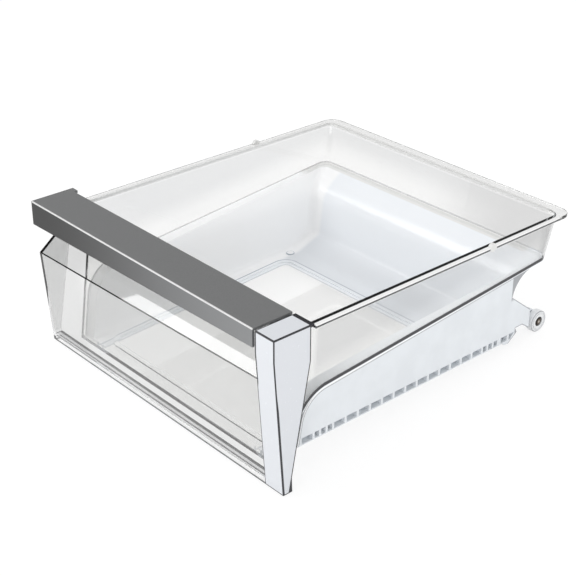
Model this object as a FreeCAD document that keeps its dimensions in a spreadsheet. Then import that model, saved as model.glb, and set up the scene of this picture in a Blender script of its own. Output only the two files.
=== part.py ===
import FreeCAD, Part
import math
import os
import re
import Sketcher

# Fridge crisper drawer: a clear moulded bin with a clear front panel, a grey handle trim,
# a white end cap on the right, and a white rail with a roller on each side.
# Frame: X to the drawer's right, Y to its back, Z up. The origin lies midway between the
# running faces of the two rails, at the rails' front ends.

# Driving dimensions in millimetres and degrees, one row of the sheet each
DIMENSIONS = {
    "rim_width": 400,
    "rim_length": 397,
    "rim_height": 145,
    "rim_thickness": 4,
    "rim_side_flange": 6.5,
    "rim_back_flange": 12,
    "rim_corner_radius": 16,
    "rim_edge_radius": 1,
    "rim_tab_radius": 5,
    "rim_tab_thickness": 4,
    "rim_tab_place": 260,
    "wall": 2.6,
    "side_draft": 4,
    "back_draft": 12,
    "wall_corner_radius": 14,
    "front_wall_place": 8,
    "front_wall_lean": 10.75,
    "front_knee_height": 105,
    "ledge_back_height": 91.5,
    "ledge_slope": 5.1,
    "ledge_lip": 3,
    "well_front_gap": 10,
    "well_front_radius": 40,
    "shoulder_drop": 21,
    "shoulder_rise": 2,
    "shoulder_skew": 1.4,
    "shoulder_bend": 12,
    "shoulder_start": 80,
    "ledge_width": 21.5,
    "lower_back_inset": 47,
    "lower_draft": 3.5,
    "lower_back_draft": 7.5,
    "lower_corner_radius": 12,
    "floor_front_depth": 23,
    "floor_slope": 3.3,
    "floor_length": 320,
    "floor_back_slope": 21,
    "floor_edge_radius": 8,
    "floor_fold_radius": 25,
    "bead_width": 6,
    "bead_height": 2,
    "bead_margin": 14,
    "bead_back_margin": 22,
    "bead_corner_radius": 20,
    "button_radius": 5,
    "button_height": 1.2,
    "front_overhang": 28,
    "front_depth": 52.5,
    "front_lean": 4.3,
    "panel_wall": 3,
    "panel_drop": 41,
    "panel_bottom_depth": 12.5,
    "panel_heel": 17,
    "panel_channel_depth": 6,
    "crease_height": 80,
    "crease_rise": 10,
    "grip_slope": 38,
    "grip_web": 4,
    "trim_seat": 4,
    "trim_plate": 3,
    "trim_rise": 1,
    "trim_edge": 0.8,
    "trim_tab_length": 10,
    "trim_tab_reach": 5,
    "trim_clearance": 0.3,
    "trim_overhang": 3,
    "lip_height": 29.5,
    "lip_taper": 8.5,
    "lip_thickness": 3,
    "cap_inset": 3,
    "cap_width": 28,
    "cap_knee_drop": 25,
    "cap_gap": 4,
    "cap_wall": 2.5,
    "cap_edge": 0.6,
    "rail_inset": 7.1,
    "rail_plate": 2.6,
    "rail_flange_height": 10.5,
    "rail_clearance": 0.3,
    "rail_front_gap": 2,
    "rail_neck": 329,
    "rail_tail": 368,
    "rail_tail_thickness": 2.2,
    "rail_tail_radius": 36,
    "slot_height": 7.5,
    "slot_depth": 8,
    "slot_margin": 1.2,
    "slot_start": 6,
    "slot_pitch": 17.9,
    "slot_rib": 3,
    "short_slot_pitch": 9.2,
    "short_slots": 3,
    "long_slots": 13,
    "foot_drop": 3.5,
    "foot_length": 14,
    "foot_tip_height": 6.8,
    "foot_hook": 3.5,
    "foot_slot_width": 9.5,
    "arm_neck_height": 57,
    "arm_height": 13,
    "arm_reach": 23,
    "arm_step": 364.5,
    "arm_boss_radius": 10.5,
    "arm_shoulder": 8.5,
    "arm_cover": 3,
    "roller_place": 380.5,
    "roller_height": 7.3,
    "roller_radius": 13.5,
    "roller_width": 9,
    "roller_overhang": 2,
    "roller_gap": 0.6,
    "roller_edge": 1,
    "hub_radius": 9,
    "hub_recess": 1.2,
    "hub_groove": 2.6,
    "pin_radius": 4,
    "pin_head_radius": 5.5,
    "pin_head_thickness": 1.6,
    "pin_crown_radius": 3.3,
    "pin_head_gap": 0.3,
    "running_clearance": 0.05,
    "press_clearance": 0.02,
}

# Levels that a lofted bend is drawn through
BEND_STEPS = 4

# Places and sizes that follow from the driving dimensions
DERIVED = {
    "rim_half": "rim_width / 2",
    "rim_front": "front_wall_place + trim_seat",
    "rim_back": "rim_front + rim_length",
    "wall_half": "rim_half - rim_side_flange",
    "wall_back": "rim_back - rim_back_flange",
    "base": "-panel_drop",
    "shoulder_base": "ledge_back_height - shoulder_drop",
    "shoulder_top": "ledge_back_height + shoulder_rise",
    "lower_half": "wall_half - ledge_width",
    "lower_back": "wall_back - lower_back_inset",
    "front_slant": "tan(front_wall_lean)",
    "ledge_tan": "tan(ledge_slope)",
    "floor_tan": "tan(floor_slope)",
    "floor_front": "front_wall_place - (front_knee_height + floor_front_depth) * front_slant",
    "floor_end": "floor_front + floor_length",
    "floor_end_height": "floor_length * floor_tan - floor_front_depth",
    "well_front_base": "front_wall_place + well_front_gap - front_knee_height * front_slant",
    "ledge_base": "ledge_back_height - wall_back * ledge_tan",
    "trim_top": "rim_height + trim_rise",
    "trim_under": "trim_top - trim_plate",
    "trim_back": "rim_front - trim_clearance",
    "front_face": "rim_front - front_depth",
    "knee": "trim_top - cap_knee_drop",
    "trim_left": "front_left - trim_overhang",
    "front_left": "-rim_half - front_overhang",
    "cap_right": "rim_half - cap_inset",
    "cap_left": "cap_right - cap_width",
    "lean_tan": "tan(front_lean)",
    "grip_tan": "tan(grip_slope)",
    "panel_foot": "front_face + (knee + panel_drop) * lean_tan",
    "panel_back_foot": "panel_foot + panel_bottom_depth",
    "web_front": "front_wall_place - grip_web",
    "heel_height": "panel_heel - panel_drop",
    "heel_place": "front_wall_place - (front_knee_height - heel_height) * front_slant",
    "rise_tan": "tan(floor_back_slope)",
    "shoulder_front": "floor_front + shoulder_start",
    "bead_half": "lower_half - (shoulder_base + floor_front_depth) * tan(lower_draft) - wall - bead_margin",
    "bead_length": "floor_length - wall - bead_margin - bead_back_margin",
    "rail_face": "wall_half - rail_inset",
    "rail_inner": "lower_half - (shoulder_base - rail_flange_height) * tan(lower_draft) + rail_clearance",
    "arm_inner": "lower_half - (shoulder_base - arm_neck_height) * tan(lower_draft) + rail_clearance",
    "rail_slant_base": "well_front_base + rail_front_gap",
    "rail_top_base": "ledge_base - rail_clearance",
    "long_slot_start": "slot_start + slot_pitch + short_slots * short_slot_pitch",
    "roller_face": "rail_face + roller_overhang",
    "arm_face": "roller_face - roller_width - roller_gap",
}


def formula(text):
    """Write a formula in the sheet's terms: derived names spelt out, dimensions as sheet cells."""
    def spell(match):
        name = match.group(0)
        if name in DERIVED:
            return "(" + formula(DERIVED[name]) + ")"
        return "dim." + name if name in DIMENSIONS else name
    return re.sub(r"[a-z]\w*", spell, text)


def number(text):
    """The present value of a formula."""
    return float(sheet.evalExpression(formula(text)))


def bind(thing, **sizes):
    """Tie properties of a document object to formulas."""
    for name, text in sizes.items():
        thing.setExpression(name, formula(text))
    return thing


def place(thing, x="0", y="0", z="0"):
    """Tie an object's position to formulas."""
    thing.setExpression("Placement.Base.x", formula(x))
    thing.setExpression("Placement.Base.y", formula(y))
    thing.setExpression("Placement.Base.z", formula(z))
    return thing


def box(name, low, high):
    """A box between two corners given as formulas."""
    block = doc.addObject("Part::Box", name)
    bind(block, Length=f"({high[0]}) - ({low[0]})", Width=f"({high[1]}) - ({low[1]})")
    bind(block, Height=f"({high[2]}) - ({low[2]})")
    return place(block, *low)


def tapered_block(name, heights, halves, fronts, backs):
    """A block with sloping sides: each argument gives its bottom and its top as formulas."""
    block = doc.addObject("Part::Wedge", name)
    block.Placement.Rotation = FreeCAD.Rotation(FreeCAD.Vector(1, 0, 0), 90)
    bind(block, Ymin=heights[0], Ymax=heights[1])
    bind(block, Xmin=f"-({halves[0]})", Xmax=halves[0], X2min=f"-({halves[1]})", X2max=halves[1])
    bind(block, Zmin=f"-({backs[0]})", Zmax=f"-({fronts[0]})")
    bind(block, Z2min=f"-({backs[1]})", Z2max=f"-({fronts[1]})")
    return block


def combine(kind, name, shapes):
    """A boolean of several document objects: MultiFuse or MultiCommon."""
    result = doc.addObject(f"Part::{kind}", name)
    result.Shapes = shapes
    result.Refine = True
    return result


def cut(name, base, tool):
    """One document object with another taken out of it."""
    result = doc.addObject("Part::Cut", name)
    result.Base = base
    result.Tool = tool
    result.Refine = True
    return result


def rounded(name, base, radius, wanted):
    """A fillet of the edges that a test picks out of the base's shape."""
    doc.recompute()
    size = number(radius)
    result = doc.addObject("Part::Fillet", name)
    result.Base = base
    result.Edges = [(i, size, size) for i, edge in enumerate(base.Shape.Edges, start=1) if wanted(edge)]
    doc.recompute()
    return result


def origin_plane(body, role):
    return next(plane for plane in body.Origin.OriginFeatures if plane.Role == role)


def outline(body, name, points, offset="0", role="YZ_Plane"):
    """A sketch of a closed polygon; each corner is a pair of formulas in the plane's own axes."""
    sketch = body.newObject("Sketcher::SketchObject", name)
    sketch.AttachmentSupport = [(origin_plane(body, role), "")]
    sketch.MapMode = "FlatFace"
    sketch.setExpression("AttachmentOffset.Base.z", formula(offset))
    corners = [FreeCAD.Vector(number(u), number(v), 0) for u, v in points]
    count = len(points)
    for i, corner in enumerate(corners):
        sketch.addGeometry(Part.LineSegment(corner, corners[(i + 1) % count]))
    for i in range(count):
        sketch.addConstraint(Sketcher.Constraint("Coincident", i, 2, (i + 1) % count, 1))
    for i, (u, v) in enumerate(points):
        for axis, text, at in (("DistanceX", u, corners[i].x), ("DistanceY", v, corners[i].y)):
            index = sketch.addConstraint(Sketcher.Constraint(axis, -1, 1, i, 1, at))
            sketch.setExpression(f"Constraints[{index}]", formula(text))
    return sketch


def round_backed(body, name, half, front, back, radius, height):
    """A level sketch of a rectangle with its two back corners rounded."""
    sketch = body.newObject("Sketcher::SketchObject", name)
    sketch.AttachmentSupport = [(origin_plane(body, "XY_Plane"), "")]
    sketch.MapMode = "FlatFace"
    sketch.setExpression("AttachmentOffset.Base.z", formula(height))
    side_end = f"{back} - ({radius})"
    back_end = f"{half} - ({radius})"
    lines = (
        ((f"-({half})", front), (half, front)),
        ((half, front), (half, side_end)),
        ((back_end, back), (f"-({back_end})", back)),
        ((f"-({half})", side_end), (f"-({half})", front)),
    )
    size = number(radius)
    for start, end in lines:
        sketch.addGeometry(Part.LineSegment(FreeCAD.Vector(number(start[0]), number(start[1]), 0),
                                            FreeCAD.Vector(number(end[0]), number(end[1]), 0)))
    for side, turn in ((1, 0), (-1, 90)):
        middle = FreeCAD.Vector(side * number(back_end), number(side_end), 0)
        circle = Part.Circle(middle, FreeCAD.Vector(0, 0, 1), size)
        sketch.addGeometry(Part.ArcOfCircle(circle, math.radians(turn), math.radians(turn + 90)))
    for joint in ((0, 2, 1, 1), (3, 2, 0, 1), (1, 2, 4, 1), (4, 2, 2, 1), (2, 2, 5, 1), (5, 2, 3, 1)):
        sketch.addConstraint(Sketcher.Constraint("Coincident", *joint))
    for line, (start, end) in enumerate(lines):
        for axis, text in (("DistanceX", start[0]), ("DistanceY", start[1])):
            index = sketch.addConstraint(Sketcher.Constraint(axis, -1, 1, line, 1, number(text)))
            sketch.setExpression(f"Constraints[{index}]", formula(text))
    for line in (1, 2):
        for axis, text in (("DistanceX", lines[line][1][0]), ("DistanceY", lines[line][1][1])):
            index = sketch.addConstraint(Sketcher.Constraint(axis, -1, 1, line, 2, number(text)))
            sketch.setExpression(f"Constraints[{index}]", formula(text))
    for arc in (4, 5):
        index = sketch.addConstraint(Sketcher.Constraint("Radius", arc, size))
        sketch.setExpression(f"Constraints[{index}]", formula(radius))
    return sketch


def disc(body, name, centre, radius, offset="0"):
    """A sketch of one circle across the X axis."""
    sketch = body.newObject("Sketcher::SketchObject", name)
    sketch.AttachmentSupport = [(origin_plane(body, "YZ_Plane"), "")]
    sketch.MapMode = "FlatFace"
    sketch.setExpression("AttachmentOffset.Base.z", formula(offset))
    middle = FreeCAD.Vector(number(centre[0]), number(centre[1]), 0)
    sketch.addGeometry(Part.Circle(middle, FreeCAD.Vector(0, 0, 1), number(radius)))
    sizes = (("DistanceX", centre[0], middle.x), ("DistanceY", centre[1], middle.y))
    for axis, text, at in sizes:
        index = sketch.addConstraint(Sketcher.Constraint(axis, -1, 1, 0, 3, at))
        sketch.setExpression(f"Constraints[{index}]", formula(text))
    index = sketch.addConstraint(Sketcher.Constraint("Radius", 0, number(radius)))
    sketch.setExpression(f"Constraints[{index}]", formula(radius))
    return sketch


def pad(body, sketch, length):
    """Material added along +X from a sketch."""
    feature = body.newObject("PartDesign::Pad", sketch.Name + "_pad")
    feature.Profile = sketch
    bind(feature, Length=length)
    return feature


def pocket(body, sketch, length):
    """Material taken away along -X from a sketch."""
    feature = body.newObject("PartDesign::Pocket", sketch.Name + "_pocket")
    feature.Profile = sketch
    bind(feature, Length=length)
    return feature


def loft(body, kind, name, sections, ruled=True):
    """Material added or taken away through sketches, straight from one to the next or in a smooth curve."""
    feature = body.newObject(kind, name)
    feature.Profile = sections[0]
    feature.Sections = sections[1:]
    feature.Ruled = ruled
    return feature


def soften(body, name, radius, wanted):
    """A fillet on the edges of a body's last feature that a test picks out."""
    doc.recompute()
    last = body.Tip
    names = [f"Edge{i}" for i, edge in enumerate(last.Shape.Edges, start=1) if wanted(edge)]
    feature = body.newObject("PartDesign::Fillet", name)
    feature.Base = (last, names)
    bind(feature, Radius=radius)
    return feature


def prism(name, points, start, length):
    """A body of one pad along X."""
    body = doc.addObject("PartDesign::Body", name)
    pad(body, outline(body, name + "_outline", points, start), length)
    return body


def near(value, text, slack=0.01):
    return abs(value - number(text)) < slack


def wall_half_at(height):
    """Outer half-width of the bin's upper walls at a height."""
    return f"wall_half - (rim_height - ({height})) * tan(side_draft)"


def wall_back_at(height):
    """Outer place of the bin's upper back wall at a height."""
    return f"wall_back - (rim_height - ({height})) * tan(back_draft)"


def lower_half_at(height):
    """Outer half-width of the bin's lower walls at a height."""
    return f"lower_half - (shoulder_base - ({height})) * tan(lower_draft)"


def lower_back_at(height):
    """Outer place of the bin's lower back wall at a height."""
    return f"lower_back - (shoulder_base - ({height})) * tan(lower_back_draft)"


def ledge_at(along):
    """Height of the ledge's underside at a place along the drawer."""
    return f"ledge_base + ({along}) * ledge_tan"


def front_panel_at(height):
    """Outer face of the leaning front at a height below its knee."""
    return f"front_face + (knee - ({height})) * lean_tan"


def meeting(upright, slope, level, rise):
    """Where the line y = upright + slope z meets the line z = level + rise y."""
    along = f"(({upright}) + ({level}) * {slope}) / (1 - {rise} * {slope})"
    return along, f"({level}) + {rise} * ({along})"


def bend_at(step, below, edge, above):
    """A point on the curve that turns a wall, met at below and edge, out towards above."""
    t = step / BEND_STEPS
    beyond = f"({edge} + ({above} - ({edge})) * shoulder_bend / (shoulder_top - shoulder_base))"
    return f"{(1 - t) ** 2} * ({below}) + {2 * t * (1 - t)} * ({edge}) + {t * t} * {beyond}"


def bin_solid(prefix, inset, top):
    """The bin's form, filled: wide above the ledge, narrow below it; moved inwards by an inset."""
    front = f"front_wall_place - front_knee_height * front_slant + {inset} / cos(front_wall_lean)"
    well = f"well_front_base - {inset} / cos(front_wall_lean)"
    ledge = f"ledge_base + {inset} / cos(ledge_slope)"
    floor = f"-floor_front_depth - floor_front * floor_tan + {inset} / cos(floor_slope)"
    rise = f"floor_end_height - floor_end * rise_tan + {inset} / cos(floor_back_slope)"
    floor_turn = f"(({floor}) - ({rise})) / (rise_tan - floor_tan)"
    upright = f"front_wall_place + {inset}"
    toe = meeting(front, "front_slant", floor, "floor_tan")
    corner = meeting(well, "front_slant", ledge, "ledge_tan")

    upper_side = prism(prefix + "_upper_side", [
        toe,
        (upright, f"({upright} - ({front})) / front_slant"),
        (upright, top),
        ("rim_back", top),
        ("rim_back", f"{ledge} + rim_back * ledge_tan"),
        corner,
        meeting(well, "front_slant", floor, "floor_tan"),
    ], "-rim_half", "rim_width")
    soften(upper_side, prefix + "_well_curve", f"well_front_radius + {inset}",
           lambda edge: near(edge.CenterOfMass.y, corner[0]) and near(edge.CenterOfMass.z, corner[1]))
    block = tapered_block(prefix + "_upper_block", ("base", top),
                          (f"{wall_half_at('base')} - {inset}", f"{wall_half_at(top)} - {inset}"),
                          ("front_face", "front_face"),
                          (f"{wall_back_at('base')} - {inset}", f"{wall_back_at(top)} - {inset}"))
    block = rounded(prefix + "_upper_round", block, f"wall_corner_radius - {inset}", rising_back_corner)
    upper = combine("MultiCommon", prefix + "_upper", [block, upper_side])

    stem = doc.addObject("PartDesign::Body", prefix + "_stem")
    radius = f"lower_corner_radius - {inset}"
    top_half = f"{wall_half_at('shoulder_top')} - ledge_lip - {inset} * shoulder_skew"
    top_back = f"{wall_back_at('shoulder_top')} - ledge_lip - {inset} * shoulder_skew"
    low = "shoulder_base - shoulder_bend"
    bends = [(bend_at(step, low, "shoulder_base", "shoulder_top"),
              bend_at(step, f"{lower_half_at(low)} - {inset}", f"lower_half - {inset}", top_half),
              bend_at(step, f"{lower_back_at(low)} - {inset}", f"lower_back - {inset}", top_back))
             for step in range(BEND_STEPS + 1)]
    foot = ("base", f"{lower_half_at('base')} - {inset}", f"{lower_back_at('base')} - {inset}")
    stages = (("wall", [foot, bends[0]], True), ("bend", bends, False),
              ("shoulder", [bends[-1], ("shoulder_top", top_half, top_back)], True))
    for stage, levels, ruled in stages:
        sections = [round_backed(stem, f"{prefix}_{stage}_level_{i}", half, "front_face", back, radius, level)
                    for i, (level, half, back) in enumerate(levels)]
        loft(stem, "PartDesign::AdditiveLoft", f"{prefix}_{stage}_loft", sections, ruled)
    stem_side = prism(prefix + "_stem_side", [
        toe,
        (f"{front} + shoulder_base * front_slant", "shoulder_base"),
        ("shoulder_front", "shoulder_base"),
        ("shoulder_front", "shoulder_top"),
        ("rim_back", "shoulder_top"),
        ("rim_back", f"{rise} + rim_back * rise_tan"),
        (floor_turn, f"{floor} + ({floor_turn}) * floor_tan"),
    ], "-rim_half", "rim_width")
    soften(stem_side, prefix + "_floor_fold", f"floor_fold_radius + {inset}",
           lambda edge: near(edge.CenterOfMass.y, floor_turn) and edge.BoundBox.XLength > 1)
    lower = combine("MultiCommon", prefix + "_lower", [stem, stem_side])
    lower = rounded(prefix + "_lower_soft", lower, f"floor_edge_radius - {inset}", floor_side_edge)
    return combine("MultiFuse", prefix, [upper, lower])


def rising_back_corner(edge):
    """The edges of a tapered block that rise at its two back corners."""
    return edge.BoundBox.ZLength > 1 and edge.CenterOfMass.y > number("rim_length") / 2


def floor_side_edge(edge):
    """The edges round the lower bin's floor, other than the front one and those of its fold."""
    middle = edge.CenterOfMass
    across = edge.BoundBox.XLength > number("lower_half") and middle.y < number("lower_back") - 20
    return middle.z < number("shoulder_base") / 3 and edge.BoundBox.ZLength < 25 and not across


def build_bin():
    """The clear tub with its rim, rim tabs, floor bead and corner buttons."""
    outside = bin_solid("bin_outside", "0", "rim_height")
    inside = bin_solid("bin_inside", "wall", "rim_height + wall")
    tub = cut("bin_tub", outside, inside)

    plate = box("rim_plate", ("-rim_half", "rim_front", "rim_height - rim_thickness"),
                ("rim_half", "rim_back", "rim_height"))
    plate = rounded("rim_plate_round", plate, "rim_corner_radius", rising_back_corner)
    plate = rounded("rim_plate_soft", plate, "rim_edge_radius",
                    lambda edge: edge.BoundBox.ZLength < 0.01 and not near(edge.CenterOfMass.y, "rim_front"))
    rim = cut("rim", plate, outside)
    pieces = [tub, rim]

    for side, sign in (("left", -1), ("right", 1)):
        tab = doc.addObject("Part::Cylinder", f"rim_tab_{side}")
        tab.Placement.Rotation = FreeCAD.Rotation(FreeCAD.Vector(0, 1, 0), 90)
        bind(tab, Radius="rim_tab_radius", Height="rim_tab_thickness")
        low = "rim_half - rim_tab_thickness" if sign > 0 else "-rim_half"
        place(tab, low, "rim_front + rim_tab_place", "rim_height - rim_edge_radius")
        pieces.append(tab)
        button = doc.addObject("Part::Cylinder", f"floor_button_{side}")
        bind(button, Radius="button_radius", Height="button_height + wall / 2")
        place(button, f"{sign} * (bead_half + button_radius)", "floor_end - bead_back_margin / 2",
              "floor_end_height - bead_back_margin / 2 * floor_tan + wall / 2")
        pieces.append(button)

    beads = []
    for name, step in (("bead_outer", "0"), ("bead_inner", "bead_width")):
        block = doc.addObject("Part::Box", name)
        bind(block, Length=f"2 * (bead_half - {step})", Width=f"bead_length - 2 * ({step})")
        bind(block, Height="bead_height + wall / 2")
        beads.append(rounded(name + "_round", block, f"bead_corner_radius - {step}",
                             lambda edge: edge.BoundBox.ZLength > 1))
    beads[1].Placement.Base = FreeCAD.Vector(number("bead_width"), number("bead_width"), 0)
    bead = cut("floor_bead", *beads)
    bead.Placement.Rotation = FreeCAD.Rotation(FreeCAD.Vector(1, 0, 0), number("floor_slope"))
    place(bead, "-bead_half", "floor_front + wall + bead_margin",
          "(wall + bead_margin) * floor_tan - floor_front_depth + wall / 2")
    pieces.append(bead)

    whole = combine("MultiFuse", "bin_whole", pieces)
    notch = box("trim_notch", ("-rim_half", "front_face", "trim_under"),
                ("rim_half", "rim_front", "trim_top"))
    return cut("bin", whole, notch)


def panel_section(crease):
    """Outside of the front panel's section: the front leans, and the finger recess slopes back on top."""
    return [
        ("panel_foot", "-panel_drop"),
        (front_panel_at(crease), crease),
        ("web_front", f"{crease} + (web_front - ({front_panel_at(crease)})) * grip_tan"),
        ("web_front", "trim_under"),
        ("front_wall_place", "trim_under"),
        ("front_wall_place", "front_knee_height"),
        ("heel_place", "heel_height"),
        ("panel_back_foot", "-panel_drop"),
    ]


def panel_hollow(crease):
    """Hollow of the front panel's section, open at the back."""
    skin = "panel_wall / cos(front_lean)"
    facet = f"{crease} - ({front_panel_at(crease)}) * grip_tan - panel_wall / cos(grip_slope)"
    plate_top = "panel_channel_depth + panel_wall - panel_drop"
    behind = "front_wall_place + panel_wall"
    return [
        (f"{front_panel_at(plate_top)} + {skin}", plate_top),
        meeting(f"front_face + knee * lean_tan + {skin}", "(-lean_tan)", facet, "grip_tan"),
        (behind, f"{facet} + ({behind}) * grip_tan"),
        (behind, plate_top),
    ]


def build_front_panel():
    """The clear front: a hollow wedge, open at the back and on the right; its crease rises to the right."""
    body = doc.addObject("PartDesign::Body", "front_panel")
    creases = ("crease_height", "crease_height + crease_rise")
    ends = ("front_left", "cap_left")
    loft(body, "PartDesign::AdditiveLoft", "panel_block",
         [outline(body, f"panel_section_{i}", panel_section(creases[i]), ends[i]) for i in (0, 1)])
    ends = ("front_left + panel_wall", "cap_left")
    loft(body, "PartDesign::SubtractiveLoft", "panel_cavity",
         [outline(body, f"panel_hollow_{i}", panel_hollow(creases[i]), ends[i]) for i in (0, 1)])
    channel = outline(body, "panel_channel", [
        ("panel_foot + panel_wall", "-panel_drop - panel_wall"),
        ("panel_foot + panel_wall", "panel_channel_depth - panel_drop"),
        ("panel_back_foot - panel_wall", "panel_channel_depth - panel_drop"),
        ("panel_back_foot - panel_wall", "-panel_drop - panel_wall"),
    ], "cap_left")
    pocket(body, channel, "cap_left - front_left - panel_wall")
    return body


def trim_section(lip_base):
    """The handle's section: a top plate and the lip that hangs at its front."""
    return [
        ("front_face", "trim_top"),
        ("front_face", lip_base),
        ("front_face + lip_thickness", lip_base),
        ("front_face + lip_thickness", "trim_under"),
        ("trim_back", "trim_under"),
        ("trim_back", "trim_top"),
    ]


def build_handle_trim():
    """The grey handle: its lip is tallest on the left and tapers to the right."""
    body = doc.addObject("PartDesign::Body", "handle_trim")
    bases = ("trim_top - lip_height", "trim_top - lip_height + lip_taper")
    ends = ("trim_left", "cap_left - cap_gap")
    loft(body, "PartDesign::AdditiveLoft", "trim_block",
         [outline(body, f"trim_section_{i}", trim_section(bases[i]), ends[i]) for i in (0, 1)])
    tab = outline(body, "trim_tab", [
        ("trim_back - trim_plate", "trim_under"),
        ("trim_back + trim_tab_reach", "trim_under"),
        ("trim_back + trim_tab_reach", "trim_top"),
        ("trim_back - trim_plate", "trim_top"),
    ], "trim_left")
    pad(body, tab, "trim_tab_length")
    soften(body, "trim_edges", "trim_edge",
           lambda edge: near(edge.CenterOfMass.y, "front_face") and near(edge.CenterOfMass.z, "trim_top"))
    return body


def build_end_cap():
    """The white end cap: a shell with the front's side outline, open at the back."""
    body = prism("right_end_cap", [
        ("front_face", "trim_top"),
        ("front_face", "knee"),
        ("panel_foot", "-panel_drop"),
        ("panel_back_foot", "-panel_drop"),
        ("heel_place", "heel_height"),
        ("front_wall_place", "front_knee_height"),
        ("front_wall_place", "trim_under"),
        ("trim_back", "trim_under"),
        ("trim_back", "trim_top"),
    ], "cap_left", "cap_width")
    behind = "front_wall_place + cap_wall"
    hollow = outline(body, "cap_hollow", [
        ("front_face + cap_wall", "trim_under"),
        ("front_face + cap_wall", "knee"),
        ("panel_foot + cap_wall", "cap_wall - panel_drop"),
        (behind, "cap_wall - panel_drop"),
        (behind, "trim_under"),
    ], "cap_right - cap_wall")
    pocket(body, hollow, "cap_width - 2 * cap_wall")
    soften(body, "cap_edges", "cap_edge",
           lambda edge: edge.CenterOfMass.y < number("front_wall_place") and outer_cap_edge(edge))
    return body


def outer_cap_edge(edge):
    """The end cap's outside edges along its top, its front and its right face."""
    middle = edge.CenterOfMass
    on_right = near(edge.BoundBox.XMin, "cap_right") and near(edge.BoundBox.XMax, "cap_right")
    top = near(middle.z, "trim_top")
    return top or (on_right and middle.z > number("base") + 1)


def build_rail():
    """The white rail on the right: plate, slotted running flange, foot, arm and axle boss."""
    top = meeting("rail_slant_base", "front_slant", "rail_top_base", "ledge_tan")
    tail_end = "rail_top_base + rail_tail * ledge_tan"
    neck_top = "rail_top_base + rail_neck * ledge_tan - rail_tail_thickness"
    body = prism("right_rail", [
        ("rail_slant_base", "0"),
        top,
        ("rail_tail", tail_end),
        ("rail_tail", f"{tail_end} - rail_tail_thickness"),
        ("rail_neck", neck_top),
        ("rail_neck", "0"),
    ], "rail_face - rail_plate", "rail_plate")
    soften(body, "rail_front_curve", "well_front_radius",
           lambda edge: near(edge.CenterOfMass.y, top[0]) and edge.BoundBox.XLength > 1)
    soften(body, "rail_tail_curve", "rail_tail_radius",
           lambda edge: near(edge.CenterOfMass.y, "rail_neck") and near(edge.CenterOfMass.z, neck_top))
    flange = outline(body, "rail_flange", [
        ("rail_slant_base", "0"),
        ("rail_slant_base + rail_flange_height * front_slant", "rail_flange_height"),
        ("rail_neck", "rail_flange_height"),
        ("rail_neck", "0"),
    ], "rail_inner")
    pad(body, flange, "rail_face - rail_inner")
    root = outline(body, "rail_arm_root", [
        ("rail_neck - foot_length", "arm_neck_height"),
        ("rail_neck", "arm_neck_height"),
        ("arm_step", "roller_height + roller_radius + arm_shoulder"),
        ("arm_step", "roller_height - arm_cover"),
        ("rail_neck + arm_reach", "arm_height"),
        ("rail_neck", "arm_height"),
        ("rail_neck - foot_length", "0"),
    ], "arm_inner")
    pad(body, root, "rail_face - arm_inner")
    tip = outline(body, "rail_arm_tip", [
        ("arm_step - foot_length", "roller_height + roller_radius + arm_shoulder"),
        ("arm_step", "roller_height + roller_radius + arm_shoulder"),
        ("roller_place", "roller_height + arm_boss_radius"),
        ("roller_place", "roller_height - arm_boss_radius"),
        ("arm_step", "roller_height - arm_cover"),
        ("arm_step - foot_length", "arm_height"),
    ], "rail_inner")
    pad(body, tip, "arm_face - rail_inner")
    pad(body, disc(body, "rail_boss", ("roller_place", "roller_height"), "arm_boss_radius", "rail_inner"),
        "arm_face - rail_inner")
    foot = outline(body, "rail_foot", [
        ("rail_neck - foot_length", "rail_flange_height / 2"),
        ("rail_neck - foot_length / 2", "-foot_drop"),
        ("rail_neck", "-foot_drop"),
        ("rail_neck + foot_length", "foot_tip_height"),
        ("rail_neck + foot_length - foot_hook", "arm_height"),
        ("rail_neck", "arm_height"),
    ], "rail_inner")
    pad(body, foot, "rail_face - rail_inner")
    pocket(body, disc(body, "rail_bore", ("roller_place", "roller_height"),
                      "pin_radius + press_clearance", "arm_face"), "arm_face - rail_inner")

    slot_row(body, "slot_front", "slot_start", "slot_pitch", None)
    slot_row(body, "slot_short_front", "slot_start + slot_pitch", "short_slot_pitch", "short_slots")
    slot_row(body, "slot_long", "long_slot_start", "slot_pitch", "long_slots")
    slot_row(body, "slot_short_back", "long_slot_start + long_slots * slot_pitch", "short_slot_pitch",
             "short_slots")
    slot_row(body, "slot_foot", "rail_neck - foot_length", "foot_length", None)
    foot_slot = outline(body, "foot_slot", [
        ("rail_neck", "slot_margin"),
        ("rail_neck + slot_rib", "slot_margin"),
        ("rail_neck + foot_slot_width", "slot_margin + slot_height"),
        ("rail_neck", "slot_margin + slot_height"),
    ], "rail_face")
    pocket(body, foot_slot, "slot_depth")
    return body


def slot_row(body, name, start, pitch, count):
    """One slot of the running flange, or a row of equal ones."""
    sketch = outline(body, name, [
        (start, "slot_margin"),
        (f"{start} + {pitch} - slot_rib", "slot_margin"),
        (f"{start} + {pitch} - slot_rib", "slot_margin + slot_height"),
        (start, "slot_margin + slot_height"),
    ], "rail_face")
    feature = pocket(body, sketch, "slot_depth")
    if count is None:
        return
    row = body.newObject("PartDesign::LinearPattern", name + "_row")
    row.Originals = [feature]
    row.Direction = (sketch, ["H_Axis"])
    bind(row, Length=f"{pitch} * ({count} - 1)", Occurrences=count)
    body.Tip = row


def turned(name, points):
    """A body of revolution about the right roller's axle; each corner is a pair: along X, radius."""
    body = doc.addObject("PartDesign::Body", name)
    place(body, "0", "roller_place", "roller_height")
    sketch = outline(body, name + "_outline", points, role="XZ_Plane")
    feature = body.newObject("PartDesign::Revolution", name + "_turn")
    feature.Profile = sketch
    feature.ReferenceAxis = (sketch, ["H_Axis"])
    feature.Angle = 360
    return body


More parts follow.
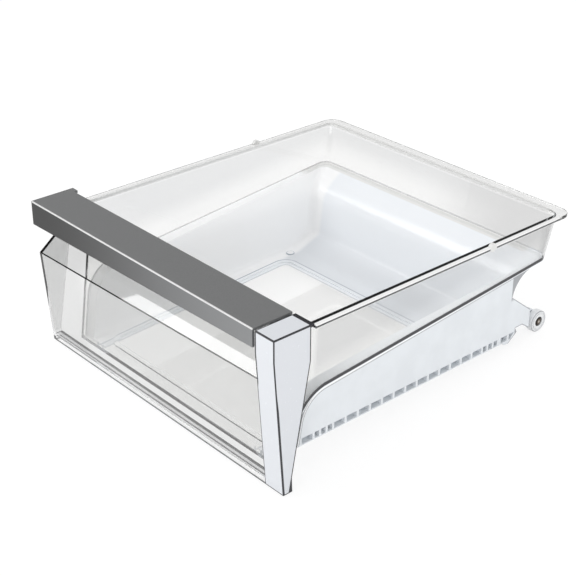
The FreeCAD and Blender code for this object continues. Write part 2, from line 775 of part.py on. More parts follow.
def build_roller():
    """A white roller: tread, a groove round its hub, a stepped bore that holds the pin's head."""
    inner = "arm_face + roller_gap"
    bore = "pin_radius + running_clearance"
    seat = "pin_head_radius + pin_head_gap * 2"
    seat_floor = "roller_face - pin_head_thickness"
    return turned("right_roller", [
        (inner, bore),
        (inner, "roller_radius - roller_edge"),
        (f"{inner} + roller_edge", "roller_radius"),
        ("roller_face - roller_edge", "roller_radius"),
        ("roller_face", "roller_radius - roller_edge"),
        ("roller_face", "hub_radius + hub_groove"),
        ("roller_face - hub_recess", "hub_radius + hub_groove"),
        ("roller_face - hub_recess", "hub_radius"),
        ("roller_face", "hub_radius"),
        ("roller_face", seat),
        (seat_floor, seat),
        (seat_floor, bore),
    ])


def build_pin():
    """The steel axle pin: a shank held in the rail's arm and a head that keeps the roller on."""
    head = "roller_face - pin_head_thickness + pin_head_gap"
    return turned("right_axle_pin", [
        ("rail_inner", "0"),
        ("rail_inner", "pin_radius"),
        (head, "pin_radius"),
        (head, "pin_head_radius"),
        (f"{head} + pin_head_thickness / 2", "pin_head_radius"),
        (f"{head} + pin_head_thickness", "pin_crown_radius"),
        (f"{head} + pin_head_thickness", "0"),
    ])


def mirrored(source, name):
    """The left-hand twin of a right-hand sub-part."""
    twin = doc.addObject("Part::Mirroring", name)
    twin.Source = source
    twin.Normal = FreeCAD.Vector(1, 0, 0)
    return twin


doc = FreeCAD.newDocument("crisper_drawer")
sheet = doc.addObject("Spreadsheet::Sheet", "dim")
for row, (alias, size) in enumerate(DIMENSIONS.items(), start=1):
    sheet.set(f"A{row}", alias)
    sheet.set(f"B{row}", str(size))
    sheet.setAlias(f"B{row}", alias)
doc.recompute()

rail = build_rail()
roller = build_roller()
pin = build_pin()
sub_parts = [build_bin(), build_front_panel(), build_handle_trim(), build_end_cap(), rail, roller, pin]
for source in (rail, roller, pin):
    sub_parts.append(mirrored(source, source.Name.replace("right", "left")))
doc.recompute()

for thing in doc.Objects:
    if "Invalid" in thing.State or "Error" in thing.State:
        raise RuntimeError(f"{thing.Name} did not compute: {thing.State}")
for thing in sub_parts:
    thing.Label = thing.Name
    if thing.Shape.isNull() or not thing.Shape.isValid() or len(thing.Shape.Solids) != 1:
        raise RuntimeError(f"{thing.Name} is not one valid solid")

os.makedirs("parts", exist_ok=True)
for thing in sub_parts:
    thing.Shape.exportStep(f"parts/{thing.Name}.step")
    print(thing.Name, round(thing.Shape.Volume), thing.Shape.BoundBox)
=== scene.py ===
import math

import bpy
from mathutils import Matrix, Vector

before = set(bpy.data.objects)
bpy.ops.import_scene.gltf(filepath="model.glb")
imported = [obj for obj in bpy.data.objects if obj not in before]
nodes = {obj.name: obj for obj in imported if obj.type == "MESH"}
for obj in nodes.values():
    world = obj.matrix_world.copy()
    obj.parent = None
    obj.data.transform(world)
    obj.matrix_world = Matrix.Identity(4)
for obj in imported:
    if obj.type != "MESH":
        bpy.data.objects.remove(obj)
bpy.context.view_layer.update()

# Sloping surfaces of the part: a place on each in metres, and its rise or lean per metre
LEDGE_FRONT, LEDGE_RISE = 0.05607, 0.08925
WELL_SHIFT, WELL_LEAN = -0.00193, 0.18986
WELL_RADIUS = 0.040
FLOOR_RISE = 0.05766
SIDE_LEAN = 0.06993

# Flat faces of the front, and the axis that the rollers turn on
FRONT_FACE, FRONT_TOP, FRONT_BOTTOM = -0.0405, 0.146, -0.041
TRIM_LEFT_END = -0.231
CAP_LEFT, CAP_RIGHT = 0.169, 0.197
AXLE_Y, AXLE_Z = 0.3805, 0.0073

PLASTIC_IOR = 1.5


class Graph:
    """Short calls for building the nodes of a material or world."""

    def __init__(self, owner):
        owner.use_nodes = True
        self.tree = owner.node_tree

    def add(self, kind, **settings):
        made = self.tree.nodes.new(kind)
        for name, value in settings.items():
            setattr(made, name, value)
        return made

    def feed(self, socket, value):
        """Links a node's output to a socket, or sets the socket to a constant."""
        if isinstance(value, bpy.types.NodeSocket):
            self.tree.links.new(value, socket)
        else:
            socket.default_value = value

    def math(self, operation, *values, clamp=False):
        made = self.add("ShaderNodeMath", operation=operation, use_clamp=clamp)
        for socket, value in zip(made.inputs, values):
            self.feed(socket, value)
        return made.outputs[0]

    def minus(self, first, second):
        return self.math("SUBTRACT", first, second)

    def gap(self, first, second):
        """The distance between two values."""
        return self.math("ABSOLUTE", self.minus(first, second))

    def hypot(self, first, second):
        squares = self.math("ADD", self.math("POWER", first, 2.0), self.math("POWER", second, 2.0))
        return self.math("SQRT", squares)

    def ramp(self, value, start, end, low=0.0, high=1.0):
        """A smooth step from low at start to high at end."""
        made = self.add("ShaderNodeMapRange", interpolation_type="SMOOTHSTEP")
        for socket, given in zip(made.inputs, (value, start, end, low, high)):
            self.feed(socket, given)
        return made.outputs[0]

    def near(self, distance, width):
        """1 within a width of a plane and 0 beyond it, with a soft edge."""
        return self.ramp(self.math("DIVIDE", distance, width), 1.0, 0.7)

    def stripe(self, value, place, half_width):
        """1 within half a width of a place on either side."""
        return self.near(self.gap(value, place), half_width)

    def both(self, *masks):
        """The product of masks, 1 where all of them are 1."""
        total = masks[0]
        for mask in masks[1:]:
            total = self.math("MULTIPLY", total, mask)
        return total

    def either(self, *masks):
        """The highest of some masks, 1 where any of them is 1."""
        total = masks[0]
        for mask in masks[1:]:
            total = self.math("MAXIMUM", total, mask)
        return total

    def without(self, mask):
        """1 where a mask is 0."""
        return self.minus(1.0, mask)

    def corner(self, *nearness):
        """1 where a point is near two planes or more."""
        total = nearness[0]
        for more in nearness[1:]:
            total = self.math("ADD", total, more)
        return self.math("SUBTRACT", total, 1.0, clamp=True)

    def round_box(self, across, along, half_sizes, radius):
        """Distance outside a rectangle with rounded corners, below 0 inside it."""
        half_across, half_along = half_sizes
        first = self.math("MAXIMUM", self.minus(across, half_across - radius), 0.0)
        second = self.math("MAXIMUM", self.minus(along, half_along - radius), 0.0)
        return self.minus(self.hypot(first, second), radius)

    def blend(self, factor, first, second):
        """A colour between two."""
        made = self.add("ShaderNodeMix", data_type="RGBA")
        self.feed(made.inputs[0], factor)
        self.feed(made.inputs[6], first)
        self.feed(made.inputs[7], second)
        return made.outputs[2]

    def place(self):
        """The x, y and z of a point in the part's own frame, in metres."""
        where = self.add("ShaderNodeTexCoord").outputs["Object"]
        split = self.add("ShaderNodeSeparateXYZ")
        self.feed(split.inputs[0], where)
        return tuple(split.outputs)

    def noise(self, scale, stretch=(1, 1, 1), detail=3.0):
        where = self.add("ShaderNodeTexCoord").outputs["Object"]
        turn = self.add("ShaderNodeMapping")
        self.feed(turn.inputs["Vector"], where)
        turn.inputs["Scale"].default_value = stretch
        made = self.add("ShaderNodeTexNoise")
        self.feed(made.inputs["Vector"], turn.outputs[0])
        made.inputs["Scale"].default_value = scale
        made.inputs["Detail"].default_value = detail
        return made.outputs[0]

    def bump(self, height, distance):
        made = self.add("ShaderNodeBump")
        made.inputs["Distance"].default_value = distance
        self.feed(made.inputs["Height"], height)
        return made.outputs[0]

    def mix_shaders(self, factor, first, second):
        """Sends a mix of two shaders to the material's surface."""
        choice = self.add("ShaderNodeMixShader")
        self.feed(choice.inputs[0], factor)
        self.feed(choice.inputs[1], first)
        self.feed(choice.inputs[2], second)
        self.feed(self.tree.nodes["Material Output"].inputs["Surface"], choice.outputs[0])

    def let_lamps_through(self, share):
        """Lets a share of the lamps' light straight through, so that clear plastic casts a faint shadow."""
        lamp = self.add("ShaderNodeLightPath").outputs["Is Shadow Ray"]
        through = self.add("ShaderNodeBsdfTransparent").outputs[0]
        plastic = self.tree.nodes["Principled BSDF"].outputs[0]
        self.mix_shaders(self.both(lamp, share), plastic, through)


def new_material(name):
    material = bpy.data.materials.new(name)
    graph = Graph(material)
    return material, graph, graph.tree.nodes["Principled BSDF"].inputs


def dress(node, material):
    """Puts a material on all the slots of a CAD node."""
    slots = nodes[node].material_slots
    if not slots:
        nodes[node].data.materials.append(material)
    for slot in slots:
        slot.material = material


def over_ledge(graph, y, z):
    """Distance above the side ledges' underside, which bends down in front along the well."""
    ledge_share = 1 / math.hypot(1, LEDGE_RISE)
    well_share = 1 / math.hypot(1, WELL_LEAN)
    overlap = ledge_share * well_share * (LEDGE_RISE + WELL_LEAN)
    across = math.sqrt(1 - overlap ** 2)
    up = graph.minus(z, graph.math("MULTIPLY_ADD", y, LEDGE_RISE, LEDGE_FRONT))
    up = graph.math("MAXIMUM", graph.math("MULTIPLY_ADD", up, ledge_share, WELL_RADIUS), 0.0)
    ahead = graph.minus(graph.math("MULTIPLY_ADD", z, WELL_LEAN, WELL_SHIFT), y)
    ahead = graph.math("MAXIMUM", graph.math("MULTIPLY_ADD", ahead, well_share, WELL_RADIUS), 0.0)
    reach = []
    for main, other in ((up, ahead), (ahead, up)):
        aside = graph.minus(other, graph.math("MULTIPLY", main, overlap))
        aside = graph.math("MAXIMUM", graph.math("DIVIDE", aside, across), 0.0)
        reach.append(graph.hypot(main, aside))
    return graph.minus(graph.math("MINIMUM", *reach), WELL_RADIUS)


# The bin's floor: pairs are where a mask begins and where it is full, lines are a place and half a width
FLOOR_ZONE = (-0.0140, -0.0160)
FLOOR_UNDERSIDE = (-0.0205, -0.0212)
WINDOW_MIDDLE, WINDOW_HALF_SIZES, WINDOW_RADIUS = 0.1078, (0.1437, 0.1679), 0.014
WINDOW_EDGE = (-0.0056, -0.0064)
UNDERSIDE_WINDOW_EXTRA = 0.004
BEAD_INNER_LINE = (-0.0052, 0.0013)
BEAD_OUTER_LINE = (0.0047, 0.0010)
BUTTON_X, BUTTON_Y = 0.1547, 0.2927
BUTTON_RING = (0.0050, 0.0007)


def floor_masks(graph, wide, y, floor):
    """The clear window in the bin's floor, and the painted shade lines: the bead's inner line, and its outer line
    with the buttons' rings.
    """
    low = graph.ramp(floor, *FLOOR_ZONE)
    under = graph.ramp(floor, *FLOOR_UNDERSIDE)
    inside = graph.round_box(wide, graph.gap(y, WINDOW_MIDDLE), WINDOW_HALF_SIZES, WINDOW_RADIUS)
    window = graph.minus(inside, graph.math("MULTIPLY", under, UNDERSIDE_WINDOW_EXTRA))
    window = graph.both(low, graph.ramp(window, *WINDOW_EDGE))
    upper = graph.both(low, graph.without(under))
    inner_line = graph.both(upper, graph.stripe(inside, *BEAD_INNER_LINE))
    button = graph.hypot(graph.minus(wide, BUTTON_X), graph.minus(y, BUTTON_Y))
    rings = graph.either(graph.stripe(inside, *BEAD_OUTER_LINE), graph.stripe(button, *BUTTON_RING))
    return window, inner_line, graph.both(upper, rings)


# The bin's rim and the dark line along its ledge: painted shade lines and a painted white band that stand in for how
# the clear edges look
TAB_ACROSS, TAB_UP, TAB_ALONG = (0.1955, 0.1962), (0.1385, 0.1392), (0.0056, 0.0050)
TAB_MIDDLE = 0.272
ROOT_MIDDLE, ROOT_HALF_SIZES, ROOT_RADIUS = 0.100, (0.1903, 0.2938), 0.0154
ROOT_INNER, ROOT_OUTER, ROOT_UP = (-0.0008, -0.0002), (0.0040, 0.0032), (0.1402, 0.1408)
ROOT_LEFT_OR_BACK = (0.182, 0.172)
ROOT_SHARE = 0.75
RIM_SIDE, RIM_REAR_END, RIM_FACE = (0.1952, 0.1958), (0.392, 0.384), (0.1986, 0.1990)
RIM_LINE_BOTTOM, RIM_LINE_TOP = (0.1420, 0.1424), (0.1440, 0.1436)
RIM_WHITE = (0.1438, 0.1442)
LEDGE_LINE_TOP, LEDGE_LINE_BOTTOM = (0.0034, 0.0024), (-0.0003, 0.0003)
RIGHT_LINE_TOP_UP, RIGHT_LINE_BOTTOM_UP = 0.0028, 0.0010
LEDGE_LINE_OUTER, LEDGE_LINE_FRONT_END = (0.1814, 0.1822), (0.000, 0.006)


def rim_masks(graph, x, y, z, over):
    """The light grey parts of the rim, its tabs and a painted shade line over the walls' tops on the left and back,
    its top on the right painted white as light, and the dark painted shade lines of ledge and rim.
    """
    wide = graph.math("ABSOLUTE", x)
    tab = graph.both(graph.ramp(wide, *TAB_ACROSS), graph.ramp(z, *TAB_UP),
                     graph.ramp(graph.gap(y, TAB_MIDDLE), *TAB_ALONG))
    # Painted shade: a light grey line over the walls' tops on the left and back
    root = graph.round_box(wide, graph.gap(y, ROOT_MIDDLE), ROOT_HALF_SIZES, ROOT_RADIUS)
    root = graph.both(graph.ramp(root, *ROOT_INNER), graph.ramp(root, *ROOT_OUTER), graph.ramp(z, *ROOT_UP),
                      graph.ramp(x, *ROOT_LEFT_OR_BACK), ROOT_SHARE)

    # Painted shade: dark lines along the ledge and along the rim's outer face
    right = graph.math("GREATER_THAN", x, 0.0)
    top = graph.minus(over, graph.math("MULTIPLY", right, RIGHT_LINE_TOP_UP))
    bottom = graph.minus(over, graph.math("MULTIPLY", right, RIGHT_LINE_BOTTOM_UP))
    outer = graph.minus(wide, graph.math("MULTIPLY", z, SIDE_LEAN))
    ledge_line = graph.both(graph.ramp(top, *LEDGE_LINE_TOP), graph.ramp(bottom, *LEDGE_LINE_BOTTOM),
                            graph.ramp(outer, *LEDGE_LINE_OUTER), graph.ramp(y, *LEDGE_LINE_FRONT_END))

    rim = graph.both(graph.ramp(x, *RIM_SIDE), graph.ramp(y, *RIM_REAR_END), graph.without(tab))
    rim_line = graph.both(rim, graph.ramp(z, *RIM_LINE_BOTTOM), graph.ramp(z, *RIM_LINE_TOP),
                          graph.ramp(x, *RIM_FACE))
    # Painted light: the rim's top on the right is painted white
    rim_top = graph.both(rim, graph.ramp(z, *RIM_WHITE))
    return graph.either(tab, root), rim_top, graph.either(ledge_line, rim_line)


# The bin's tones, many of them painted light and shade: greyer clear walls, darker and lighter milky walls, and
# grey, white and dark lines and bands along ledge, bead and rim
MILKY_ZONE = (0.0045, 0.0030)
WALL_ZONE, WALL_FRONT_END, WALL_TOP_END = (0.0030, 0.0045), (0.015, 0.025), (0.142, 0.138)
HIGH_ON_WALL = (0.012, 0.045)
RIGHT_PART, BACK_WALL = (-0.02, 0.14), (0.360, 0.376)
REAR, REAR_SLOPE, REAR_SLOPE_FRONT = (0.262, 0.298), (-0.0050, -0.0160), (0.268, 0.284)
LEFT_WALL = (-0.146, -0.154)
LIP_UP, LIP_RIGHT_END, LIP_BACK = (0.0008, 0.0014), (0.165, 0.155), (0.335, 0.350)
CLEAR = (0.985, 0.985, 0.98, 1)
WALL_LOW, WALL_HIGH_PAINTED_SHADE, WALL_BACK_RIGHT_PAINTED_SHADE = (0.915, 0.915, 0.91, 1), (0.80, 0.803, 0.805, 1), (0.71, 0.71, 0.71, 1)
MILKY, MILKY_REAR_PAINTED_SHADE, MILKY_SLOPE_PAINTED_SHADE = (0.92, 0.945, 0.97, 1), (0.885, 0.91, 0.94, 1), (0.77, 0.795, 0.825, 1)
MILKY_LEFT_PAINTED_LIGHT = (0.975, 0.98, 0.985, 1)
LIP_PAINTED_SHADE = (0.80, 0.80, 0.79, 1)
BEAD_INNER_PAINTED_SHADE, BEAD_OUTER_PAINTED_SHADE = (0.70, 0.72, 0.75, 1), (0.50, 0.53, 0.58, 1)
RIM_GREY, RIM_TOP_PAINTED_LIGHT, DARK_PAINTED_SHADE_LINE = (0.72, 0.72, 0.71, 1), (0.85, 0.85, 0.85, 1), (0.03, 0.03, 0.035, 1)
CLEAR_ROUGHNESS, MILKY_ROUGHNESS = 0.02, 0.20
CLEAR_LAMP_SHARE, MILKY_LAMP_SHARE = 0.9, 0.4
HAZE_SCALE, HAZE_RANGE, HAZE_EFFECT = 60, (0.2, 0.8), (0.8, 1.2)


def bin_material():
    """Clear plastic, milky below the side ledges except on the floor inside and in front of the bead, with painted
    shade and painted light in its tones and along its ledges, bead and rim.
    """
    material, graph, shader = new_material("clear_bin")
    x, y, z = graph.place()
    over = over_ledge(graph, y, z)
    floor = graph.minus(z, graph.math("MULTIPLY", y, FLOOR_RISE))
    window, bead_inner, bead_outer = floor_masks(graph, graph.math("ABSOLUTE", x), y, floor)
    rim_light, rim_top, lines = rim_masks(graph, x, y, z, over)
    milky = graph.both(graph.ramp(over, *MILKY_ZONE), graph.without(window))

    # Painted shade: the clear walls are tinted greyer high on the wall, and greyer still at the back right
    walls = graph.both(graph.ramp(over, *WALL_ZONE), graph.ramp(y, *WALL_FRONT_END), graph.ramp(z, *WALL_TOP_END))
    grey = graph.blend(graph.ramp(over, *HIGH_ON_WALL), WALL_LOW, WALL_HIGH_PAINTED_SHADE)
    back_right = graph.both(graph.ramp(x, *RIGHT_PART), graph.ramp(y, *BACK_WALL))
    grey = graph.blend(back_right, grey, WALL_BACK_RIGHT_PAINTED_SHADE)
    clear = graph.blend(walls, CLEAR, grey)

    # Painted shade and light: the milky part is darker towards the rear and on the rear slope, and lighter on the
    # left wall
    white = graph.blend(graph.ramp(y, *REAR), MILKY, MILKY_REAR_PAINTED_SHADE)
    slope = graph.both(graph.ramp(floor, *REAR_SLOPE), graph.ramp(y, *REAR_SLOPE_FRONT))
    white = graph.blend(slope, white, MILKY_SLOPE_PAINTED_SHADE)
    white = graph.blend(graph.ramp(x, *LEFT_WALL), white, MILKY_LEFT_PAINTED_LIGHT)

    color = graph.blend(milky, clear, white)
    # Painted shade: a grey band on the top of the ledge's lip at the back, short of the right corner
    lip = graph.both(graph.ramp(over, *LIP_UP), milky, graph.ramp(x, *LIP_RIGHT_END), graph.ramp(y, *LIP_BACK))
    color = graph.blend(lip, color, LIP_PAINTED_SHADE)
    # Painted shade: grey lines along the bead's inner and outer edges and round the buttons
    color = graph.blend(bead_inner, color, BEAD_INNER_PAINTED_SHADE)
    color = graph.blend(bead_outer, color, BEAD_OUTER_PAINTED_SHADE)
    # Painted shade and light on the rim and ledge: grey marks, a white band and dark lines
    color = graph.blend(rim_light, color, RIM_GREY)
    color = graph.blend(rim_top, color, RIM_TOP_PAINTED_LIGHT)
    graph.feed(shader["Base Color"], graph.blend(lines, color, DARK_PAINTED_SHADE_LINE))

    solid = graph.either(milky, rim_light, lines, rim_top)
    graph.feed(shader["Transmission Weight"], graph.without(solid))
    rough = graph.ramp(solid, 0.0, 1.0, CLEAR_ROUGHNESS, MILKY_ROUGHNESS)
    haze = graph.ramp(graph.noise(HAZE_SCALE), *HAZE_RANGE, *HAZE_EFFECT)
    graph.feed(shader["Roughness"], graph.both(rough, haze))
    shader["IOR"].default_value = PLASTIC_IOR
    graph.let_lamps_through(graph.ramp(milky, 0.0, 1.0, CLEAR_LAMP_SHARE, MILKY_LAMP_SHARE))
    return material


def panel_material():
    """Clear plastic, a little greyer at its left end as painted shade, lighter at its foot as painted light, with a
    thin dark painted shade line along its bottom edge.
    """
    left_end, foot, bottom = (-0.130, -0.160), (-0.0285, -0.0300), (-0.0398, -0.0404)
    wall_tint, left_painted_shade = (0.83, 0.832, 0.83, 1), (0.745, 0.747, 0.745, 1)
    foot_painted_light, painted_shade_line_color = (0.92, 0.922, 0.925, 1), (0.08, 0.08, 0.085, 1)
    flow_scale, flow_stretch, flow_range, roughness = 25, (0.3, 1, 1), (0.3, 0.8), (0.0, 0.04)
    lamp_share = 0.85
    material, graph, shader = new_material("clear_panel")
    x, _, z = graph.place()
    # Painted shade: a dark line along the bottom edge and a greyer left end; painted light: a lighter foot
    line = graph.ramp(z, *bottom)
    tint = graph.blend(graph.ramp(x, *left_end), wall_tint, left_painted_shade)
    tint = graph.blend(graph.ramp(z, *foot), tint, foot_painted_light)
    graph.feed(shader["Base Color"], graph.blend(line, tint, painted_shade_line_color))
    flow = graph.noise(flow_scale, flow_stretch)
    graph.feed(shader["Roughness"], graph.ramp(flow, *flow_range, *roughness))
    graph.feed(shader["Transmission Weight"], graph.without(line))
    shader["IOR"].default_value = PLASTIC_IOR
    graph.let_lamps_through(lamp_share)
    return material


def trim_material():
    """Satin grey metal with a fine grain, a front lip painted from shade to light towards the right, a painted
    highlight on the front ridge, and a painted shade outline at the left end.
    """
    edge_width, end_width = 0.0016, 0.0010
    grain_scale, grain_stretch, grain_detail, grain_depth = 1800, (0.35, 1, 1), 2.0, 0.00004
    grain_color_range, grain_rough_range, roughness = (0.3, 0.7), (0.2, 0.8), (0.38, 0.48)
    satin_dark, satin_light = (0.19, 0.193, 0.195, 1), (0.235, 0.238, 0.24, 1)
    lip_span, lip_painted_shade, lip_painted_light = (-0.23, 0.21), (0.030, 0.030, 0.030, 1), (0.24, 0.245, 0.25, 1)
    ridge_painted_highlight, outline_painted_shade = (0.75, 0.75, 0.75, 1), (0.04, 0.04, 0.04, 1)
    metallic = 0.35
    material, graph, shader = new_material("grey_trim")
    x, y, z = graph.place()
    front = graph.near(graph.minus(y, FRONT_FACE), edge_width)
    top = graph.near(graph.minus(FRONT_TOP, z), edge_width)
    end = graph.near(graph.minus(x, TRIM_LEFT_END), end_width)
    grain = graph.noise(grain_scale, grain_stretch, grain_detail)
    satin = graph.blend(graph.ramp(grain, *grain_color_range), satin_dark, satin_light)
    # Painted light and shade: the lip's front runs from dark at the left to light at the right
    lip = graph.blend(graph.ramp(x, *lip_span), lip_painted_shade, lip_painted_light)
    color = graph.blend(front, satin, lip)
    # Painted highlight along the front ridge, and a painted shade outline at the left end
    color = graph.blend(graph.corner(front, top), color, ridge_painted_highlight)
    outline = graph.corner(end, graph.either(front, top))
    graph.feed(shader["Base Color"], graph.blend(outline, color, outline_painted_shade))
    graph.feed(shader["Roughness"], graph.ramp(grain, *grain_rough_range, *roughness))
    shader["Metallic"].default_value = metallic
    graph.feed(shader["Normal"], graph.bump(grain, grain_depth))
    return material


def cap_material():
    """Glossy white, with dark lines painted along its edges: painted shade for what its clear edges show."""
    front_bend, front_slope = 0.121, 0.0752
    back_face, back_bend = 0.008, 0.105
    white, dark = (0.68, 0.70, 0.735, 1), (0.02, 0.02, 0.025, 1)
    grain_scale, grain_range, roughness = 400, (0.2, 0.8), (0.22, 0.28)
    material, graph, shader = new_material("white_cap")
    x, y, z = graph.place()
    lean = graph.math("MULTIPLY", graph.math("MAXIMUM", graph.minus(front_bend, z), 0.0), front_slope)
    taper = graph.math("MULTIPLY", graph.math("MAXIMUM", graph.minus(back_bend, z), 0.0), WELL_LEAN)
    # The distance from each face, and the width of the painted shade line along its edges
    faces = (
        (graph.minus(graph.minus(y, FRONT_FACE), lean), graph.ramp(z, 0.085, 0.060, 0.0013, 0.0024)),
        (graph.minus(graph.minus(back_face, taper), y), 0.0020),
        (graph.minus(CAP_RIGHT, x), 0.0013),
        (graph.minus(x, CAP_LEFT), graph.ramp(z, 0.080, 0.088, 0.0010, 0.0020)),
        (graph.minus(FRONT_TOP, z), 0.0022),
        (graph.minus(z, FRONT_BOTTOM), 0.0014),
    )
    line = graph.corner(*(graph.near(distance, width) for distance, width in faces))
    graph.feed(shader["Base Color"], graph.blend(line, white, dark))
    graph.feed(shader["Roughness"], graph.ramp(graph.noise(grain_scale), *grain_range, *roughness))
    return material


def moulded(name, color, roughness):
    """White moulded plastic with a faint texture, and its slightly uneven colour for the caller to feed in."""
    cloud_scale, cloud_range, cloud_shade = 35, (0.3, 0.7), 0.95
    grain_scale, grain_detail, grain_range, grain_depth = 1500, 2.0, (0.2, 0.8), 0.00003
    unevenness = 0.06
    material, graph, shader = new_material(name)
    darker = tuple(cloud_shade * part for part in color)
    plain = graph.blend(graph.ramp(graph.noise(cloud_scale), *cloud_range), (*darker, 1), (*color, 1))
    grain = graph.noise(grain_scale, detail=grain_detail)
    rough = graph.ramp(grain, *grain_range, roughness - unevenness, roughness + unevenness)
    graph.feed(shader["Roughness"], rough)
    graph.feed(shader["Normal"], graph.bump(grain, grain_depth))
    return material, graph, shader, plain


# Edges of the rail's arm and foot, where painted shade lines run: y and z of a point, the outward y and z, and the y
# where the line starts and ends
ARM_EDGES = (
    (0.329, 0.057, 0.615, 0.788, 0.329, 0.3645),
    (0.352, 0.013, -0.571, -0.821, 0.352, 0.3645),
    (0.3395, 0.013, 0.0, -1.0, 0.3395, 0.352),
    (0.329, -0.0035, 0.593, -0.806, 0.322, 0.343),
)


def rail_material():
    """Moulded white, painted lighter in the strip below the bin's ledge as painted light, with thin grey painted
    shade lines along its edges.
    """
    strip, strip_painted_light = (-0.0036, -0.0032), (0.92, 0.93, 0.94, 1)
    strip_line = (-0.0036, 0.0006)
    tail_y, tail_z, tail_edge = 0.365, 0.0501, (0.0374, 0.0368)
    tail_bottom, tail_top = (0.050, 0.056), (-0.0030, -0.0036)
    edge_line, line_end, painted_shade_line_color = (-0.0013, -0.0007), 0.001, (0.36, 0.37, 0.39, 1)
    material, graph, shader, plain = moulded("white_rail", (0.77, 0.80, 0.83), 0.42)
    _, y, z = graph.place()
    over = over_ledge(graph, y, z)
    # Painted light: a lighter strip below the bin's ledge
    bright = graph.blend(graph.ramp(over, *strip), plain, strip_painted_light)
    tail = graph.hypot(graph.minus(y, tail_y), graph.minus(z, tail_z))
    tail = graph.both(graph.ramp(tail, *tail_edge), graph.ramp(z, *tail_bottom), graph.ramp(over, *tail_top))
    # Painted shade: thin grey lines below the strip, round the tail and along the arm's edges
    lines = [graph.stripe(over, *strip_line), tail]
    for along, up, across, rise, start, end in ARM_EDGES:
        reach = graph.math("MULTIPLY", graph.minus(z, up), rise)
        reach = graph.math("MULTIPLY_ADD", graph.minus(y, along), across, reach)
        lines.append(graph.both(graph.ramp(reach, *edge_line), graph.ramp(y, start - line_end, start),
                                graph.ramp(y, end, end - line_end)))
    graph.feed(shader["Base Color"], graph.blend(graph.either(*lines), bright, painted_shade_line_color))
    return material


def from_axle(graph):
    """Distance from the axis that the rollers turn on."""
    _, y, z = graph.place()
    return graph.hypot(graph.minus(y, AXLE_Y), graph.minus(z, AXLE_Z))


def roller_material():
    """Moulded white, with a thin grey painted shade line around its outer edge."""
    line_inner, line_outer, painted_shade_line_color = (0.0121, 0.0125), (0.0134, 0.0132), (0.42, 0.43, 0.45, 1)
    material, graph, shader, plain = moulded("white_roller", (0.80, 0.81, 0.82), 0.38)
    out = from_axle(graph)
    # Painted shade: a grey ring near the outer edge of the roller's face
    line = graph.both(graph.ramp(out, *line_inner), graph.ramp(out, *line_outer))
    graph.feed(shader["Base Color"], graph.blend(line, plain, painted_shade_line_color))
    return material


def pin_material():
    """Brown steel, lighter in the middle of its domed head as a painted highlight, and darker around it as painted
    shade.
    """
    brown_dark, brown_light = (0.05, 0.04, 0.03, 1), (0.16, 0.13, 0.10, 1)
    middle, middle_painted_highlight = (0.0022, 0.0008), (0.55, 0.51, 0.47, 1)
    ring, ring_painted_shade = (0.0032, 0.0042), (0.015, 0.013, 0.012, 1)
    stain_scale, stain_color_range, stain_rough_range, roughness = 900, (0.35, 0.65), (0.3, 0.7), (0.4, 0.25)
    material, graph, shader = new_material("pin_steel")
    out = from_axle(graph)
    stain = graph.noise(stain_scale)
    color = graph.blend(graph.ramp(stain, *stain_color_range), brown_dark, brown_light)
    # Painted highlight in the middle of the domed head, and a painted shade ring around it
    color = graph.blend(graph.ramp(out, *middle), color, middle_painted_highlight)
    graph.feed(shader["Base Color"], graph.blend(graph.ramp(out, *ring), color, ring_painted_shade))
    graph.feed(shader["Roughness"], graph.ramp(stain, *stain_rough_range, *roughness))
    shader["Metallic"].default_value = 1.0
    return material


def floor_material():
    """Plain pale floor: near white where it is looked at, and a matt light grey for the light it sends up."""
    albedo, roughness = (0.9, 0.9, 0.9, 1), 0.9
    glow_strength, shade_color = 0.82, (0.2, 0.2, 0.2, 1)
    material, graph, shader = new_material("floor")
    shader["Base Color"].default_value = albedo
    shader["Roughness"].default_value = roughness
    shader["Specular IOR Level"].default_value = 0.0
    glow = graph.add("ShaderNodeEmission")
    glow.inputs["Strength"].default_value = glow_strength
    shade = graph.add("ShaderNodeBsdfDiffuse")
    shade.inputs["Color"].default_value = shade_color
    white = graph.add("ShaderNodeAddShader")
    graph.feed(white.inputs[0], glow.outputs[0])
    graph.feed(white.inputs[1], shade.outputs[0])
    path = graph.add("ShaderNodeLightPath").outputs
    seen = graph.either(path["Is Camera Ray"], path["Is Glossy Ray"], path["Is Transmission Ray"])
    graph.mix_shaders(seen, graph.tree.nodes["Principled BSDF"].outputs[0], white.outputs[0])
    return material


def add_floor():
    """A plain floor that the front's bottom edge and the rear rollers stand on."""
    size, clearance = 6.0, 0.0005
    front = Vector((0, -0.0158, FRONT_BOTTOM))
    rear = Vector((0, AXLE_Y, -0.0062))
    mesh = bpy.data.meshes.new("floor")
    corners = [(-size, -size, 0), (size, -size, 0), (size, size, 0), (-size, size, 0)]
    mesh.from_pydata(corners, [], [(0, 1, 2, 3)])
    mesh.materials.append(floor_material())
    floor = bpy.data.objects.new("floor", mesh)
    floor.location = front - Vector((0, 0, clearance))
    floor.rotation_euler = (math.atan2(rear.z - front.z, rear.y - front.y), 0, 0)
    bpy.context.scene.collection.objects.link(floor)


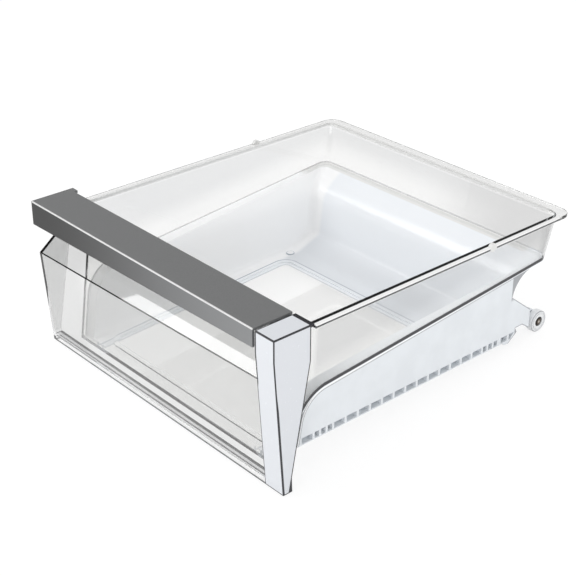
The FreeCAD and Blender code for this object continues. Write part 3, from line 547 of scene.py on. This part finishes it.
def add_world():
    """White to the camera, even light on things, and a dark ceiling for gloss and glass."""
    ceiling_heights, ceiling_levels = (0.05, 0.5), (0.9, 0.2)
    light_heights, light_levels = (0.0, 1.0), (1.0, 0.75)
    world = bpy.data.worlds.new("studio")
    graph = Graph(world)
    bpy.context.scene.world = world
    split = graph.add("ShaderNodeSeparateXYZ")
    graph.feed(split.inputs[0], graph.add("ShaderNodeTexCoord").outputs["Generated"])
    height = split.outputs[2]
    ceiling = graph.ramp(height, *ceiling_heights, *ceiling_levels)
    level = graph.ramp(height, *light_heights, *light_levels)
    path = graph.add("ShaderNodeLightPath").outputs
    shown = graph.both(graph.either(path["Is Glossy Ray"], path["Is Transmission Ray"]),
                       graph.math("LESS_THAN", path["Diffuse Depth"], 0.5))
    strength = graph.math("ADD", level, graph.both(shown, graph.minus(ceiling, level)))
    background = graph.tree.nodes["Background"].inputs
    background["Color"].default_value = (1, 1, 1, 1)
    graph.feed(background["Strength"], graph.either(strength, path["Is Camera Ray"]))


# Each lamp's name, place, target, size in metres and power in watts
LAMPS = (
    ("front_left", (-1.05, -0.80, 1.25), (0, 0.05, 0.08), 0.75, 7.2),
    ("front_right", (0.5, -1.2, 0.6), (0.1, 0, 0.1), 0.9, 4.0),
    ("right", (1.4, 0.5, 0.5), (0, 0.2, 0.05), 0.8, 2.2),
    ("back", (0.13, 1.4, 1.6), (0, 0.2, 0.05), 1.2, 4),
)


def add_light(name, place, target, size, energy):
    light = bpy.data.lights.new(name, "AREA")
    light.shape = "SQUARE"
    light.size = size
    light.energy = energy
    lamp = bpy.data.objects.new(name, light)
    lamp.location = place
    lamp.rotation_euler = (Vector(target) - Vector(place)).to_track_quat("-Z", "Y").to_euler()
    bpy.context.scene.collection.objects.link(lamp)


def add_camera():
    """The photograph's viewpoint."""
    place = (1.0396, -0.7684, 0.7961)
    azimuth, elevation, roll = math.radians(48.487), math.radians(28.029), math.radians(0.12)
    camera = bpy.data.cameras.new("camera")
    camera.sensor_width = 36
    camera.lens = 84.94
    camera.clip_start = 0.01
    holder = bpy.data.objects.new("camera", camera)
    turn = Matrix.Rotation(azimuth, 4, "Z") @ Matrix.Rotation(math.pi / 2 - elevation, 4, "X")
    holder.matrix_world = Matrix.Translation(place) @ turn @ Matrix.Rotation(roll, 4, "Z")
    bpy.context.scene.collection.objects.link(holder)
    bpy.context.scene.camera = holder


dress("bin", bin_material())
dress("front_panel", panel_material())
dress("handle_trim", trim_material())
dress("right_end_cap", cap_material())
rail = rail_material()
roller = roller_material()
pin = pin_material()
for side in ("left", "right"):
    dress(f"{side}_rail", rail)
    dress(f"{side}_roller", roller)
    dress(f"{side}_axle_pin", pin)

add_floor()
add_world()
for lamp in LAMPS:
    add_light(*lamp)
add_camera()
bpy.context.scene.view_settings.view_transform = "Standard"
